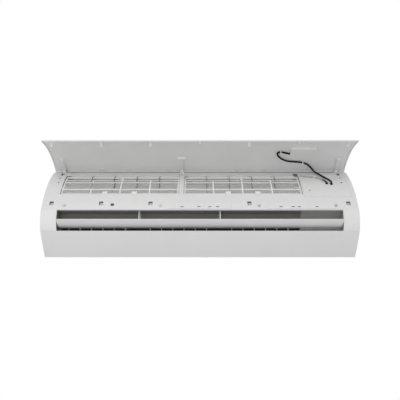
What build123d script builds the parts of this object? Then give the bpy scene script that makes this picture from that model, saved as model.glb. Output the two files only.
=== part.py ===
"""Indoor unit of a split air conditioner, hung on its wall plate, with the front panel swung up.

Millimetres. X runs along the unit, -Y is the front, +Z is up. The origin is on the wall, at the
middle of the wall plate's back. Profiles are drawn in the YZ plane and extruded along X.
"""
import os
from math import cos, hypot, pi, radians, sin, sqrt

from build123d import *

# ---------- overall sizes ----------
width = 970
height = 300
depth = 220
wall = 2.5            # moulded shells
gap = 0.3             # between pieces that only lie beside each other
run_gap = 0.05        # radial, round a pin that turns

# ---------- front curve and underside ----------
brow_setback = 106    # top corner of the front curve, behind the front plane
brow_drop = 2
lip_height = 115      # top lip of the air outlet, above the underside
front_radius = 330
sill_setback = 20     # lower lip of the air outlet
sill_height = 54.2
heel_setback = 107    # lowest edge of the casing
heel_rise = 28        # the underside climbs this much from there to the pipe channel
rear_clear = 6        # covers end this far from the wall

# ---------- openings in the front ----------
outlet_half = 436
bay_left = -437
bay_right = 321
bay_low = 178         # above the underside
bay_top_drop = 28     # below the top
centre_bar = (-66, -51)
bay_rib = 3
cover_right = 470
cover_low = 165
cover_top_drop = 38
latch_pitch = 152
latch_slot = (12.5, 14)
latch_height = 139
latch_steps = (-3, -2, -1, 1, 3)
stop_steps = (0, 2)
band_screws = (-417, -121, 182, 417)
band_screw_height = 131

# ---------- front panel ----------
panel_half = 483.7
panel_gap = 8
panel_skin = 3
panel_tip = 118
open_angle = 59
hinge_setback = 115   # hinge axis, behind the front plane
hinge_drop = 16
hinge_pin = 3.5       # radius
arm_places = (-452, -60, 454)

# ---------- air outlet ----------
floor_wall = 2.5
duct_right = 311
post_places = (-187, 62)
louver_half = 433
louver_pivot = (20, 85)     # behind the front plane, above the underside
louver_pin = 2.5
louver_skin = 3
vane_pitch = 35
vane_groups = (-319, -67, 186)
vanes_per_group = 6
vane_pivot = 74       # behind the front plane
vane_reach = 14       # pivot to link pin
vane_top = 80
vane_skin = 1.6

# ---------- fan ----------
fan_setback = 108
fan_height = 118
fan_radius = 52
fan_left = -424
fan_right = 304
fan_blades = 24
fan_discs = 8
shaft_radius = 4
motor_radius = 42
motor_length = 76

# ---------- heat exchanger ----------
coil_thick = 22
coil_left = -430
coil_right = 306
tube_radius = 3.5
tube_bends = 4
liquid_radius = 3.175
gas_radius = 6.35

# ---------- lead to the display ----------
lead_radius = 2.8
clip_shares = (0.1, 0.487)       # of the lead's length, from the display
sensor_lead_radius = 1.5

half = width / 2
front = -depth
foot = -height / 2
top = height / 2
brow = (front + brow_setback, top - brow_drop)
lip = (front, foot + lip_height)
sill = (front + sill_setback, foot + sill_height)
heel = (front + heel_setback, foot)
hinge = (front + hinge_setback, top - hinge_drop)
pivot = (front + louver_pivot[0], foot + louver_pivot[1])
fan = (front + fan_setback, foot + fan_height)
vane_y = front + vane_pivot


def curve_centre():
    """Centre of the front curve, which runs from the brow to the outlet's top lip."""
    chord = hypot(brow[0] - lip[0], brow[1] - lip[1])
    along = ((brow[0] - lip[0]) / chord, (brow[1] - lip[1]) / chord)
    reach = sqrt(front_radius**2 - (chord / 2) ** 2)
    middle = ((brow[0] + lip[0]) / 2, (brow[1] + lip[1]) / 2)
    return (middle[0] + along[1] * reach, middle[1] - along[0] * reach)


centre = curve_centre()


def on_curve(radius, z):
    """Point at height z on a circle about the front curve's centre."""
    return (centre[0] - sqrt(radius**2 - (z - centre[1]) ** 2), z)


def ribbon(inner, outer, low, high):
    """Cross-section between two radii of the front curve and two heights."""
    middle = (low + high) / 2
    with BuildSketch(Plane.YZ) as face:
        with BuildLine():
            ThreePointArc(on_curve(outer, low), on_curve(outer, middle), on_curve(outer, high))
            Line(on_curve(outer, high), on_curve(inner, high))
            ThreePointArc(on_curve(inner, high), on_curve(inner, middle), on_curve(inner, low))
            Line(on_curve(inner, low), on_curve(outer, low))
        make_face()
    return face.sketch


def section(*points):
    """Cross-section with straight sides."""
    with BuildSketch(Plane.YZ) as face:
        with BuildLine():
            Polyline(*points, close=True)
        make_face()
    return face.sketch


def strip(thickness, *points):
    """Cross-section of a thin wall that follows points, with its thickness on both sides."""
    with BuildSketch(Plane.YZ) as face:
        with BuildLine() as line:
            Polyline(*points)
        trace(line.line, line_width=thickness)
    return face.sketch


def disc(place, radius):
    with BuildSketch(Plane.YZ) as face:
        with Locations(place):
            Circle(radius)
    return face.sketch


def run(face, start, end, mode=Mode.ADD):
    """Extrude a cross-section along X, in the part being built."""
    extrude(face.moved(Location((start, 0, 0))), amount=end - start, dir=(1, 0, 0), mode=mode)


def block(x, y, z, mode=Mode.ADD):
    """Box between two limits along each axis, in the part being built."""
    with Locations(((x[0] + x[1]) / 2, (y[0] + y[1]) / 2, (z[0] + z[1]) / 2)):
        Box(x[1] - x[0], y[1] - y[0], z[1] - z[0], mode=mode)


def span(middle, size):
    return (middle - size / 2, middle + size / 2)


def around(place, angle, radius):
    """Point at an angle and radius round a place of the YZ plane."""
    return (place[0] + radius * cos(radians(angle)), place[1] + radius * sin(radians(angle)))


def slab_end(low, high, thick):
    """Two corners of the lower end of a slab, from its two middle end points."""
    length = hypot(high[0] - low[0], high[1] - low[1])
    side = ((high[1] - low[1]) / length * thick / 2, (low[0] - high[0]) / length * thick / 2)
    return ((low[0] - side[0], low[1] - side[1]), (low[0] + side[0], low[1] + side[1]))


def slab(low, high, thick):
    """Cross-section of a straight slab, from its two middle end points."""
    ends = slab_end(low, high, thick)
    rise = (high[0] - low[0], high[1] - low[1])
    far = [(y + rise[0], z + rise[1]) for y, z in ends]
    return section(ends[0], far[0], far[1], ends[1])


def swung(part):
    """The panel's pieces are drawn closed and swung up about the hinge."""
    return part.rotate(Axis((0, *hinge), (1, 0, 0)), -open_angle)


def save(part, name):
    part.label = name
    export_step(part, f"parts/{name}.step")


os.makedirs("parts", exist_ok=True)

# ================= wall plate =================
plate_thick = 1.5
plate_half = 400
plate_low = foot + 60
plate_high = top - 30
bolt_spacing = (600, 150)
bolt_hole = 3
hook_places = (-250, 250)
hook_wide = 30
hook_reach = 7

with BuildPart() as wall_plate:
    block((-plate_half, plate_half), (-plate_thick, 0), (plate_low, plate_high))
    for x in (-150, 150):
        block(span(x, 160), (-plate_thick, 0), span(0, 80), Mode.SUBTRACT)
    with Locations(Plane.XZ):
        with GridLocations(bolt_spacing[0], bolt_spacing[1], 2, 2):
            Cylinder(bolt_hole, 4 * plate_thick, mode=Mode.SUBTRACT)
    for x in hook_places:
        block(span(x, hook_wide), (-plate_thick - hook_reach, 0), (plate_high - plate_thick, plate_high))
        block(
            span(x, hook_wide),
            (-plate_thick - hook_reach, -hook_reach),
            (plate_high, plate_high + 5),
        )
save(wall_plate.part, "wall_plate")

# ================= rear chassis =================
chassis_half = half - wall - gap
back = -plate_thick
back_wall = 3
channel_depth = 42
channel_height = 60
scroll_radius = (60, 62, 64)
scroll_angles = (30, -30, -90)
trough_low = fan[1] + 28
chamber = (-437, 312)
partition = 3
pipe_hatch = (332, 382)
rear_foot = (fan[0] + 66, fan[1] + 52)        # middle of the rear coil's lower end
rear_head = (fan[0] + 22, top - 50)
coil_rests = (-300, 0, 220)

scroll = []
for extra in (0, floor_wall):
    scroll.append([around(fan, a, r + extra) for a, r in zip(scroll_angles, scroll_radius)])

with BuildPart() as rear_chassis:
    block((-chassis_half, chassis_half), (back - back_wall, back), (foot + channel_height, top - wall - gap))
    block(
        (-chassis_half, chassis_half),
        (back - channel_depth, back),
        (foot + channel_height - wall, foot + channel_height),
    )
    block(
        (-chassis_half, chassis_half),
        (back - channel_depth - wall, back - channel_depth),
        (foot + heel_rise, foot + channel_height),
    )
    with BuildSketch(Plane.YZ.offset(chamber[0])) as scroll_face:
        with BuildLine():
            ThreePointArc(*scroll[0])
            Line(scroll[0][2], scroll[1][2])
            ThreePointArc(*reversed(scroll[1]))
            Line(scroll[1][0], scroll[0][0])
        make_face()
    extrude(amount=chamber[1] - chamber[0])
    block(chamber, (fan[0] + scroll_radius[0] * cos(pi / 6), back - 1), (trough_low, trough_low + wall))
    block(
        chamber,
        (fan[0] + 49, fan[0] + 49 + wall),
        (trough_low, trough_low + 12),
    )
    block(
        (chamber[0], chamber[1]),
        (fan[0] + 49, fan[0] + scroll_radius[0] * cos(pi / 6) + 1),
        (trough_low, trough_low + wall),
    )
    for x in (chamber[0] - partition, chamber[1]):
        block(
            (x, x + partition),
            (fan[0] - 53, back - 1),
            (foot + sill_height + gap, trough_low + wall),
        )
    block(
        (-chassis_half, chassis_half),
        (back - channel_depth, back + 1),
        (foot, foot + channel_height - wall),
        Mode.SUBTRACT,
    )
    # ribs that the rear coil stands on
    corners = slab_end(rear_foot, rear_head, coil_thick)
    for x in coil_rests:
        run(
            section(
                (corners[0][0], trough_low + 1),
                (corners[0][0], corners[0][1] - gap),
                (corners[1][0], corners[1][1] - gap),
                (corners[1][0], trough_low + 1),
            ),
            x,
            x + 3,
        )
    with Locations((0, *fan)):
        Cylinder(13, 2 * width, rotation=(0, 90, 0), mode=Mode.SUBTRACT)
    block(pipe_hatch, (back - 38, back - back_wall - 1), span(foot + channel_height, 8), Mode.SUBTRACT)
    for x in hook_places:
        block(
            span(x, hook_wide + 4),
            (back - 2 * back_wall, back),
            (plate_high - plate_thick - 3, plate_high + 6),
            Mode.SUBTRACT,
        )
save(rear_chassis.part, "rear_chassis")

# ================= front frame =================
outlet_bulge = (front + 2.8, foot + 84)
end_hub = 7
hub_length = 14
guide_places = (-351, -278, -205, -132, 22, 95.5, 169, 242.5)
guide_thick = 2.4
guide_radius = (front_radius - 17, front_radius - 8.6)
pocket_wall = 2
band_pads = ((-96, 96), (207, 413))       # raised fields of the band
pad_height = (foot + 118, foot + 144)
pad_rise = 1.4
service_hole = (-269, 134)
service_size = (10, 9)
slit_places = (-55, -3, 30, 54, 248, 285, 304, 358)
slit_height = 126
slit_size = (9, 3)
screw_head = 4
screw_shank = 2
end_holes = ((454, 257), (453, 232))      # along X, above the underside, at both ends
end_hole = 2.6                            # radius
bay_high = top - bay_top_drop
arm_width = 9


def end_outline():
    """Side view of the front frame."""
    with BuildSketch(Plane.YZ) as face:
        with BuildLine():
            Polyline(sill, (-rear_clear, sill[1]), (-rear_clear, top), (brow[0] + 8, top), brow)
            ThreePointArc(brow, on_curve(front_radius, (brow[1] + lip[1]) / 2), lip)
            ThreePointArc(lip, outlet_bulge, sill)
        make_face()
    return face.sketch


def outlet_wall():
    """Front wall beside the outlet."""
    inner = [(y + wall, z) for y, z in (sill, outlet_bulge, lip)]
    with BuildSketch(Plane.YZ) as face:
        with BuildLine():
            ThreePointArc(lip, outlet_bulge, sill)
            Line(sill, inner[0])
            ThreePointArc(*inner)
            Line(inner[2], lip)
        make_face()
    return face.sketch


with BuildPart() as front_frame:
    run(ribbon(front_radius - wall, front_radius, lip[1], brow[1]), -half, half)
    run(outlet_wall(), -half, -outlet_half)
    run(outlet_wall(), outlet_half, half)
    run(end_outline(), -half, -half + wall)
    run(end_outline(), half - wall, half)
    run(
        section(
            (brow[0], brow[1] - wall),
            brow,
            (brow[0] + 8, top),
            (-rear_clear, top),
            (-rear_clear, top - wall),
            (brow[0] + 8, top - wall),
        ),
        -half,
        half,
    )
    block((-outlet_half, outlet_half), (front + 1.2, front + 8), (lip[1], lip[1] + 2))
    for limits in band_pads:
        run(ribbon(front_radius - 1, front_radius + pad_rise, *pad_height), *limits)
    # pockets that the panel's hooks reach into
    for step in latch_steps:
        x = step * latch_pitch
        reach = latch_slot[0] / 2 + pocket_wall
        low = foot + latch_height - latch_slot[1] / 2
        high = foot + latch_height + latch_slot[1] / 2
        run(
            ribbon(front_radius - 9, front_radius - 1, low - pocket_wall, high + pocket_wall),
            x - reach,
            x + reach,
        )
        run(
            ribbon(front_radius - 7.5, front_radius + 3, low, high),
            x - latch_slot[0] / 2,
            x + latch_slot[0] / 2,
            Mode.SUBTRACT,
        )
    # windows for the filters, the control cover and the top grille
    for x in ((bay_left, centre_bar[0]), (centre_bar[1], bay_right)):
        block(x, (front - 5, brow[0] + 10), (foot + bay_low, bay_high), Mode.SUBTRACT)
    block(
        (bay_right + bay_rib, cover_right),
        (front - 5, brow[0] + 10),
        (foot + cover_low, top - cover_top_drop),
        Mode.SUBTRACT,
    )
    block(
        (bay_left, bay_right),
        (brow[0] + 26, -30),
        (top - 2 * wall, top + 1),
        Mode.SUBTRACT,
    )
    # guides behind the filters, joined to the wall above and below each window
    for x in guide_places:
        limits = span(x, guide_thick)
        run(ribbon(*guide_radius, foot + bay_low - 6, bay_high + 6), *limits)
        run(ribbon(guide_radius[0], front_radius - 1, foot + bay_low - 6, foot + bay_low - 1), *limits)
        run(ribbon(guide_radius[0], front_radius - 1, bay_high + 1, bay_high + 6), *limits)
    # a service hole, drain slits and small holes at the left end
    for x, h in end_holes:
        with Locations((-x, on_curve(front_radius, foot + h)[0], foot + h)):
            Cylinder(end_hole, 12, rotation=(90, 0, 0), mode=Mode.SUBTRACT)
    block(
        span(service_hole[0], service_size[0]),
        (front - 2, front + 14),
        span(foot + service_hole[1], service_size[1]),
        Mode.SUBTRACT,
    )
    for x in slit_places:
        block(
            span(x, slit_size[0]),
            (front - 2, front + 14),
            span(foot + slit_height, slit_size[1]),
            Mode.SUBTRACT,
        )
    for x in band_screws:
        seat = on_curve(front_radius, foot + band_screw_height)[0] + 1.2
        with Locations((x, seat - 5, foot + band_screw_height)):
            Cylinder(screw_head + 1.5, 10, rotation=(90, 0, 0), mode=Mode.SUBTRACT)
        with Locations((x, seat, foot + band_screw_height)):
            Cylinder(screw_shank + gap, 12, rotation=(90, 0, 0), mode=Mode.SUBTRACT)
    # slots that the panel's arms swing in
    for x in arm_places:
        block(
            span(x, arm_width + 3),
            (hinge[0] - 32, hinge[0] + 14),
            (hinge[1] - 13, top + 1),
            Mode.SUBTRACT,
        )
    # bosses for the hinge pins, hung from the top
    for x, side in zip(arm_places, (1, 1, -1)):
        inner = x + side * (arm_width / 2 + 2.5)
        limits = sorted((inner, inner + side * hub_length))
        run(disc(hinge, end_hub), limits[0], limits[1])
        block(limits, span(hinge[0], 8), (hinge[1], top - wall))
        run(disc(hinge, hinge_pin + run_gap), limits[0] - 1, limits[1] + 1, Mode.SUBTRACT)
save(front_frame.part, "front_frame")

# ================= top grille =================
grille_y = (brow[0] + 26 + gap, -30 - gap)
grille_ribs = 10
grille_bars = 4

with BuildPart() as top_grille:
    grille_x = (bay_left + gap, bay_right - gap)
    block(grille_x, grille_y, (top - wall, top))
    cell = (grille_x[1] - grille_x[0] - 4) / grille_ribs
    bar_pitch = (grille_y[1] - grille_y[0] - 2) / grille_bars
    with Locations(((grille_x[0] + grille_x[1]) / 2, (grille_y[0] + grille_y[1]) / 2, top)):
        with GridLocations(cell, bar_pitch, grille_ribs, grille_bars):
            Box(cell - 2.4, bar_pitch - 2.4, 4 * wall, mode=Mode.SUBTRACT)
save(top_grille.part, "top_grille")

# ================= bottom cover =================
belly = (front + 62, foot + 25.5)
cover_seam = sill[1] - 0.1


def belly_outline():
    """Side view of the lower cover."""
    lower_sill = (sill[0], cover_seam)
    rear = back - channel_depth - wall - gap
    with BuildSketch(Plane.YZ) as face:
        with BuildLine():
            ThreePointArc(lower_sill, belly, heel)
            Polyline(heel, (rear, foot + heel_rise), (rear, cover_seam), lower_sill)
        make_face()
    return face.sketch


with BuildPart() as bottom_cover:
    run(belly_outline(), -half, half)
    hollow = offset(belly_outline(), amount=-wall, kind=Kind.INTERSECTION, mode=Mode.PRIVATE)
    run(hollow, -half + wall, half - wall, Mode.SUBTRACT)
    block(
        (-half + wall, half - wall),
        (sill[0] + 4 * wall, back - channel_depth - wall),
        (cover_seam - 1.2 * wall, cover_seam + 1),
        Mode.SUBTRACT,
    )
    block(
        (-half + wall, half - wall),
        (back - channel_depth - 3 * wall, 0),
        (foot + heel_rise + 8, cover_seam + 1),
        Mode.SUBTRACT,
    )
save(bottom_cover.part, "bottom_cover")

# ================= control box and its cover =================
lead_hole = (419, 224.5)      # along X, above the underside
sensor_hole = (405, 228)
button_place = (386, 185)
cover_screw = (345, 194)
grommet_radius = 5
button_radius = 3.2

with BuildPart() as control_box_cover:
    run(
        ribbon(
            front_radius - wall,
            front_radius,
            foot + cover_low + gap,
            top - cover_top_drop - gap,
        ),
        bay_right + bay_rib + gap,
        cover_right - gap,
    )
    for (x, z), radius in (
        (lead_hole, grommet_radius),
        (sensor_hole, grommet_radius),
        (button_place, button_radius + 0.2),
        (cover_screw, 2.3),
        (end_holes[0], end_hole),
        (end_holes[1], end_hole),
    ):
        with Locations((x, on_curve(front_radius, foot + z)[0], foot + z)):
            Cylinder(radius, 20, rotation=(90, 0, 0), mode=Mode.SUBTRACT)
save(control_box_cover.part, "control_box_cover")

box_x = (332, 466)
box_low = foot + 172
box_high = top - 44
box_front = wall + gap        # behind the cover's outer face
box_deep = 29

with BuildPart() as control_box:
    run(ribbon(front_radius - box_front - box_deep, front_radius - box_front, box_low, box_high), *box_x)
    run(
        ribbon(
            front_radius - box_front - box_deep + 2,
            front_radius - box_front + 1,
            box_low + 3,
            box_high - 3,
        ),
        box_x[0] + 2,
        box_x[1] - 2,
        Mode.SUBTRACT,
    )
save(control_box.part, "control_box")

with BuildPart() as control_board:
    deck = front_radius - box_front - box_deep + 5
    run(ribbon(deck, deck + 1.6, box_low + 6, box_high - 4), box_x[0] + 5, box_x[1] - 5)
    run(ribbon(deck + 1.5, deck + 10, box_low + 10, box_low + 26), 352, 380)
    run(ribbon(deck + 1.5, deck + 13, box_high - 28, box_high - 12), 400, 422)
    run(ribbon(deck + 1.5, deck + 8, box_high - 30, box_high - 14), 346, 366)
    for x in (box_x[0] + 10, box_x[1] - 10):
        run(ribbon(deck - 3, deck + 1, box_low + 30, box_low + 36), x - 3, x + 3)
save(control_board.part, "control_board")

with BuildPart() as terminal_block:
    deck_top = front_radius - box_front - box_deep + 5 + 1.6
    run(ribbon(deck_top, deck_top + 9, box_low + 12, box_low + 28), 396, 446)
    for x in range(404, 446, 11):
        run(ribbon(deck_top + 6, deck_top + 10, box_low + 15, box_low + 25), x - 3, x + 3, Mode.SUBTRACT)
save(terminal_block.part, "terminal_block")

# ================= manual button =================
button_travel = 1.5
button_face = on_curve(front_radius, foot + button_place[1])[0]

with BuildPart() as manual_button:
    with Locations((button_place[0], button_face - 0.8 + 4, foot + button_place[1])):
        Cylinder(button_radius, 8, rotation=(90, 0, 0))
        fillet(manual_button.faces().sort_by(Axis.Y)[0].edges(), 0.8)
save(manual_button.part, "manual_button")

# ================= heat exchanger =================
front_foot = (fan[0] - 64, fan[1] + 40)
front_head = (fan[0] + 6, top - 36)

with BuildPart() as front_coil:
    run(slab(front_foot, front_head, coil_thick), coil_left, coil_right)
save(front_coil.part, "front_coil")

with BuildPart() as rear_coil:
    run(slab(rear_foot, rear_head, coil_thick), coil_left, coil_right)
save(rear_coil.part, "rear_coil")

bend_radius = 7


def bend_places(low, high):
    """Middles of the hairpin bends along a slab, with the slab's direction."""
    length = hypot(high[0] - low[0], high[1] - low[1])
    along = ((high[0] - low[0]) / length, (high[1] - low[1]) / length)
    for n in range(tube_bends):
        share = (n + 0.5) / tube_bends
        yield (low[0] + along[0] * length * share, low[1] + along[1] * length * share), along


def beyond(place, along, distance):
    return (place[0] + along[0] * distance, place[1] + along[1] * distance)


with BuildPart() as coil_tubes:
    for ends in ((front_foot, front_head), (rear_foot, rear_head)):
        for place, along in bend_places(*ends):
            start = beyond(place, along, bend_radius)
            for x, turn in ((coil_left, 180), (coil_right, -180)):
                # the pipes leave where the rear coil's lowest bend would be
                if x == coil_right and place == next(bend_places(rear_foot, rear_head))[0]:
                    continue
                with BuildSketch(Plane.YZ.offset(x)) as tube_end:
                    with Locations(start):
                        Circle(tube_radius)
                axle = Axis((x, *place), (0, -along[1], along[0]))
                revolve(axis=axle, revolution_arc=turn)
save(coil_tubes.part, "coil_tubes")

pan_floor = foot + 125.3
pan_outer = (
    (front + 20, foot + 156),
    (front + 20, foot + 132),
    (front + 24, pan_floor),
    (fan[0] - 61, pan_floor),
    (fan[0] - 52, foot + 149),
)
spigot_radius = 8
spigot_bore = 6
spigot_place = (front + 31, foot + 139)
pan_x = (-434, 309)

with BuildPart() as drain_pan:
    run(strip(2, *pan_outer), *pan_x)
    for x in (pan_x[0], pan_x[1] - 2):
        run(section(*pan_outer), x, x + 2)
    run(disc(spigot_place, spigot_radius), pan_x[0] - 26, pan_x[0] + 1)
    run(disc(spigot_place, spigot_bore), pan_x[0] - 27, pan_x[0] + 3, Mode.SUBTRACT)
    # ribs that the front coil stands on
    corners = slab_end(front_foot, front_head, coil_thick)
    for x in coil_rests:
        run(
            section(
                (corners[0][0], pan_floor),
                (corners[0][0], corners[0][1] - gap),
                (corners[1][0] - 2, corners[1][1] + 2 * (brow[0] - lip[0]) / (brow[1] - lip[1]) - gap),
                (corners[1][0] - 2, foot + 138),
                (pan_outer[3][0], pan_floor),
            ),
            x,
            x + 3,
        )
save(drain_pan.part, "drain_pan")

# ================= refrigerant pipes =================
pipe_x = (350, 366)
pipe_y = (back - 28.5, back - 8.5)
pipe_z = (foot + 41, foot + 44)
pipe_starts = (8, 19)         # from the rear coil's lower end, along it
pipe_rise = (0, 8)
union_x = (60, 24)
pipe_bend = 18

for name, radius, x, y, z, along, rise, end in zip(
    ("gas_pipe", "liquid_pipe"),
    (gas_radius, liquid_radius),
    pipe_x,
    pipe_y,
    pipe_z,
    pipe_starts,
    pipe_rise,
    union_x,
):
    start = beyond(rear_foot, next(bend_places(rear_foot, rear_head))[1], along)
    with BuildPart() as pipe:
        with BuildLine() as route:
            FilletPolyline(
                (coil_right, *start),
                (coil_right + 14, *start),
                (x, y, start[1] + rise),
                (x, y, z),
                (end, y, z),
                radius=pipe_bend,
            )
        with BuildSketch(Plane(origin=route.line @ 0, z_dir=route.line % 0)):
            Circle(radius)
        sweep()
    save(pipe.part, name)

union_sizes = ((9.5, 17, 11), (5.55, 14, 7.5))     # thread radius, thread length, nut radius

with BuildPart() as flare_unions:
    for (thread, length, nut), y, z, end in zip(union_sizes, pipe_y, pipe_z, union_x):
        with BuildSketch(Plane.YZ.offset(end)):
            with Locations((y, z)):
                RegularPolygon(nut, 6)
        extrude(amount=-12)
        with BuildSketch(Plane.YZ.offset(end - 12)):
            with Locations((y, z)):
                Circle(thread)
        extrude(amount=-length)
save(flare_unions.part, "flare_unions")

# ================= air outlet: duct, vanes and louver =================
duct_side = 3
roof = (
    (front + 9, foot + lip_height + 1),
    (front + 24, foot + 123),
    (front + 43, foot + 120),
    (fan[0] - 56, foot + 107),
)
floor_front = sill[0] + 4 * wall + gap
floor_back = fan[0] - gap
floor_z = (sill[1] - floor_wall, sill[1])
vane_pin = 2
pivot_hole = vane_pin + run_gap
louver_rest_chord = ((12, 78), (-46, 73))     # front and rear edges, ahead of the front plane


def vane_places():
    for middle in vane_groups:
        for n in range(vanes_per_group):
            yield middle + (n - (vanes_per_group - 1) / 2) * vane_pitch


def duct_outline():
    """Side wall of the outlet."""
    return section(
        (front + 9, foot + lip_height),
        (front + 9, foot + lip_height + 2),
        *roof[1:],
        (fan[0] - 54, foot + 100),
        (fan[0] - 54, floor_z[0]),
        (floor_front, floor_z[0]),
        (floor_front, floor_z[1]),
        (front + 12, foot + 72),
        (front + 9, foot + 90),
    )


with BuildPart() as outlet_duct:
    run(strip(2, *roof), -outlet_half - duct_side, outlet_half + duct_side)
    block((-outlet_half, outlet_half), (floor_front, fan[0] - 54), floor_z)
    block((-outlet_half - duct_side, duct_right), (fan[0] - 55, floor_back), floor_z)
    run(duct_outline(), -outlet_half - duct_side, -outlet_half)
    run(duct_outline(), outlet_half, outlet_half + duct_side)
    block((duct_right, duct_right + duct_side), (front + 52, fan[0] - 54), (floor_z[0], foot + 108))
    # blind part in front of the fan motor
    run(strip(2, (front + 22, foot + 122), (front + 53, foot + 98), (front + 53, floor_z[1] - 1)),
        duct_right + 1, outlet_half + 1)
    # posts that carry the louver between its ends
    for x in post_places:
        block(span(x, 3), (pivot[0] - 4, pivot[0] + 8), (pivot[1], foot + 120))
        run(disc(pivot, 5), x - 1.5, x + 1.5)
    run(disc(pivot, louver_pin + run_gap), -half, half, Mode.SUBTRACT)
    for x in vane_places():
        with Locations((x, vane_y, floor_z[0])):
            Cylinder(vane_pin + 2, 2, align=(Align.CENTER, Align.CENTER, Align.MAX))
            Cylinder(pivot_hole, 12, mode=Mode.SUBTRACT)
save(outlet_duct.part, "outlet_duct")

vane_front = -8 - vane_reach
vane_low = floor_z[1] + 0.5
vane_high = foot + vane_top
link_pin = 1.2
link_z = (vane_high + 0.4, vane_high + 2.6)

number = 0
for x in vane_places():
    number += 1
    with BuildPart() as vane:
        with BuildSketch(Plane.YZ.offset(x)):
            with BuildLine():
                Polyline(
                    (vane_y + vane_front, vane_low),
                    (vane_y + vane_front, vane_high),
                    (vane_y - 9, vane_high),
                    (vane_y + 8, foot + 62),
                    (vane_y + 16, foot + 60),
                    (vane_y + 16, vane_low),
                    close=True,
                )
            make_face()
        extrude(amount=vane_skin / 2, both=True)
        with Locations((x, vane_y, vane_low + 8)):
            Cylinder(vane_pin, 8 + vane_low - floor_z[0] + 1, align=(Align.CENTER, Align.CENTER, Align.MAX))
        with Locations((x, vane_y - vane_reach, vane_high - 6)):
            Cylinder(link_pin, 6 + 4, align=(Align.CENTER, Align.CENTER, Align.MIN))
    save(vane.part, f"vane_{number:02d}")

for name, middle in zip(("link_left", "link_middle", "link_right"), vane_groups):
    reach = (vanes_per_group - 1) / 2 * vane_pitch
    with BuildPart() as link:
        block(
            (middle - reach - 6, middle + reach + 6),
            (vane_y - vane_reach - 3.5, vane_y - vane_reach + 5),
            link_z,
        )
        for n in range(vanes_per_group):
            x = middle + (n - (vanes_per_group - 1) / 2) * vane_pitch
            block(
                span(x, 2 * link_pin + 1.1),
                (vane_y - vane_reach - link_pin - gap, vane_y - vane_reach + link_pin + 2.2),
                (link_z[0] - 1, link_z[1] + 1),
                Mode.SUBTRACT,
            )
    save(link.part, name)

louver_front = (front - louver_rest_chord[0][0], foot + louver_rest_chord[0][1])
louver_rear = (front - louver_rest_chord[1][0], foot + louver_rest_chord[1][1])
louver_sag = 5.5
louver_middle = (
    (louver_front[0] + louver_rear[0]) / 2 - 1,
    (louver_front[1] + louver_rear[1]) / 2 - louver_sag,
)


def louver_outline():
    """Curved blade, bulging down when the outlet is open."""
    with BuildSketch(Plane.YZ) as face:
        with BuildLine():
            ThreePointArc(louver_front, louver_middle, louver_rear)
            Line(louver_rear, (louver_rear[0], louver_rear[1] + 1.5))
            ThreePointArc(
                (louver_rear[0], louver_rear[1] + 1.5),
                (louver_middle[0], louver_middle[1] + louver_skin),
                (louver_front[0], louver_front[1] + 1.5),
            )
            Line((louver_front[0], louver_front[1] + 1.5), louver_front)
        make_face()
    return face.sketch


def ear():
    """Ear that joins the louver's blade to its pivot."""
    return section(
        (pivot[0] - 9, louver_middle[1] + 2),
        (pivot[0] - 5, pivot[1] + 3),
        (pivot[0] + 5, pivot[1] + 3),
        (pivot[0] + 9, louver_middle[1] + 2),
    )


with BuildPart() as louver:
    run(louver_outline(), -louver_half, louver_half)
    for x, side in ((-louver_half, 1), (louver_half, -1)):
        limits = sorted((x, x + side * 3))
        run(ear(), *limits)
        limits = sorted((x + side * 2, -side * (outlet_half + duct_side + 3)))
        run(disc(pivot, louver_pin), *limits)
    for x in post_places:
        for side in (-1, 1):
            limits = sorted((x + side * 2, x + side * 4.5))
            run(ear(), *limits)
        run(disc(pivot, louver_pin), x - 3, x + 3)
save(louver.part, "louver")

with BuildPart() as louver_motor:
    motor_face = outlet_half + duct_side + gap
    run(disc((pivot[0] + 8, pivot[1]), 12), motor_face, motor_face + 18)
    run(disc(pivot, louver_pin + 1.5), motor_face, motor_face + 4)
    run(disc(pivot, louver_pin + run_gap), motor_face - 1, motor_face + 4, Mode.SUBTRACT)
    block(
        (motor_face, motor_face + 1.5),
        (pivot[0] + 4, pivot[0] + 12),
        span(pivot[1], 34),
    )
save(louver_motor.part, "louver_motor")

# ================= fan =================
hub_radius = 12
shaft_in = 14

with BuildPart() as fan_wheel:
    with BuildSketch(Plane.YZ.offset(fan_left)):
        with Locations(fan):
            with PolarLocations(fan_radius - 6, fan_blades):
                with Locations(Location((0, 0), 35)):
                    Rectangle(11, 1.2)
    extrude(amount=fan_right - fan_left)
    disc_pitch = (fan_right - fan_left - 3) / (fan_discs - 1)
    for n in range(fan_discs):
        x = fan_left + n * disc_pitch
        run(disc(fan, fan_radius), x, x + 3)
    for x in (fan_left, fan_right - shaft_in):
        run(disc(fan, hub_radius), x, x + shaft_in)
    for x in (fan_left - 1, fan_right - shaft_in + 1):
        run(disc(fan, shaft_radius), x, x + shaft_in, Mode.SUBTRACT)
save(fan_wheel.part, "fan_wheel")

motor_start = chamber[1] + partition + 7
bearing_start = chamber[0]

with BuildPart() as fan_shaft:
    run(disc(fan, shaft_radius), bearing_start + 1, fan_left + shaft_in - 1)
    run(disc(fan, shaft_radius), fan_right - shaft_in + 1, motor_start + 30)
save(fan_shaft.part, "fan_shaft")

with BuildPart() as fan_bearing:
    run(disc(fan, 12.7), bearing_start - partition - 2, bearing_start + 9)
    run(disc(fan, 16), bearing_start - partition - 4, bearing_start - partition - 0.2)
    run(disc(fan, shaft_radius + run_gap), bearing_start - 1, bearing_start + 10, Mode.SUBTRACT)
save(fan_bearing.part, "fan_bearing")

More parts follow.
